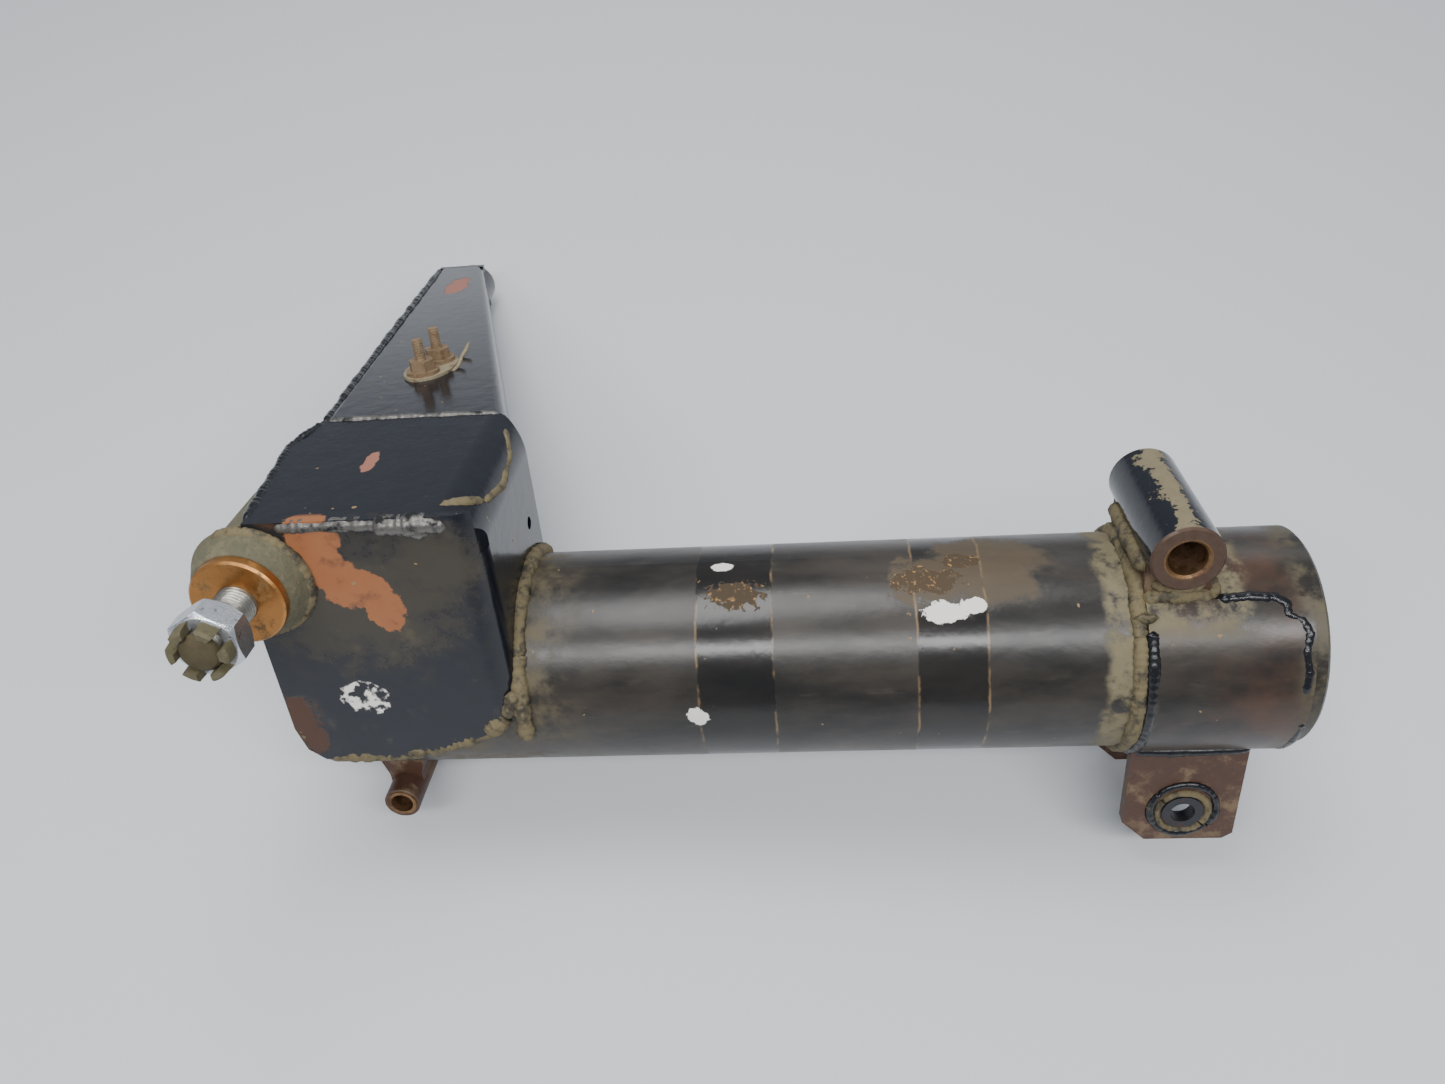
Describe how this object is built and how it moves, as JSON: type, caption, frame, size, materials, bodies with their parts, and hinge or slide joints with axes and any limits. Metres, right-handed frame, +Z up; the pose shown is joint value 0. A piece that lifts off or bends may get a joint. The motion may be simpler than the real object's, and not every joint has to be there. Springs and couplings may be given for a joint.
{
  "type": "oleo strut cylinder",
  "caption": "Welded steel oleo strut outer cylinder with trunnion box, side arm, brace sleeve, link lugs and a telescoping piston inside.",
  "frame": {"origin": "on the ground under the middle of the part's box, as the part rests on its door lug, rear link cheek and arm tip", "axes": "+Z up from the ground; +X along the barrel as seen from above, from the closed end to the mouth; +Y towards the arm tip. The barrel rises about 4.8 degrees towards the mouth, and the trunnion axis falls about 24 degrees towards the arm tip"},
  "size_m": [0.4022, 0.343, 0.166],
  "materials": {
    "black_enamel": "gloss black enamel, chipped",
    "barrel_enamel": "worn satin black enamel",
    "worn_lug_steel": "worn brown primer over steel",
    "bush_steel": "machined steel, tarnished",
    "bronze": "machined bronze",
    "corroded_casting": "corroded grey green",
    "zinc_steel": "bright zinc plate",
    "pin_steel": "ground steel",
    "hard_chrome": "polished hard chrome",
    "seal_rubber": "matt black nitrile",
    "rusty_hardware": "rusty plated steel"
  },
  "bodies": {
    "cylinder": {"arm_channel": "black_enamel", "arm_closing_plate": "black_enamel", "arm_tip_plate": "black_enamel", "barrel_tube": "barrel_enamel", "brace_sleeve": "black_enamel", "brace_sleeve_bush": "bush_steel", "charging_valve": "bronze", "door_lug_bush": "bush_steel", "door_lug_tube": "worn_lug_steel", "door_lug_web": "worn_lug_steel", "doubler_patch": "barrel_enamel", "end_cap": "barrel_enamel", "front_pivot_boss": "corroded_casting", "front_pivot_bush": "bronze", "gland_bearing": "bronze", "gland_o_ring": "seal_rubber", "link_lug_bushes": "bush_steel", "link_lug_front_cheek": "worn_lug_steel", "link_lug_rear_cheek": "worn_lug_steel", "orifice_plate": "bush_steel", "orifice_tube": "bush_steel", "rear_pivot_boss": "black_enamel", "rear_pivot_bush": "bronze", "rear_pivot_pin": "pin_steel", "retaining_ring": "bush_steel", "rod_seal": "seal_rubber", "scraper_ring": "seal_rubber", "sleeve_saddle": "worn_lug_steel", "stud_nuts": "rusty_hardware", "stud_pad": "rusty_hardware", "stud_washers": "rusty_hardware", "terminal_studs": "rusty_hardware", "trunnion_front_plate": "black_enamel", "trunnion_left_wall": "black_enamel", "trunnion_rear_wall": "black_enamel", "trunnion_top_plate": "black_enamel", "valve_cap": "bronze"},
    "piston": {"piston_tube": "hard_chrome", "piston_head": "bronze", "piston_ring": "seal_rubber", "piston_lower_plug": "pin_steel", "metering_pin": "pin_steel"},
    "pivot_pin": {"front_pivot_pin": "pin_steel"},
    "castle_nut": {"castle_nut": "zinc_steel"}
  },
  "joints": [
    {"name": "piston_slide", "type": "slide", "parent": "cylinder", "child": "piston", "axis": [0.9965, 0, 0.0834], "range_m": [0, 0.185]},
    {"name": "pivot_pin_turn", "type": "hinge", "parent": "cylinder", "child": "pivot_pin", "pos_m": [-0.17813, -0.08715, 0.12097], "axis": [0.0335, 0.9157, -0.4005], "continuous": true},
    {"name": "castle_nut_travel", "type": "slide", "parent": "pivot_pin", "child": "castle_nut", "axis": [0.0335, 0.9157, -0.4005], "range_m": [-0.0148, 0.0137]}
  ]
}
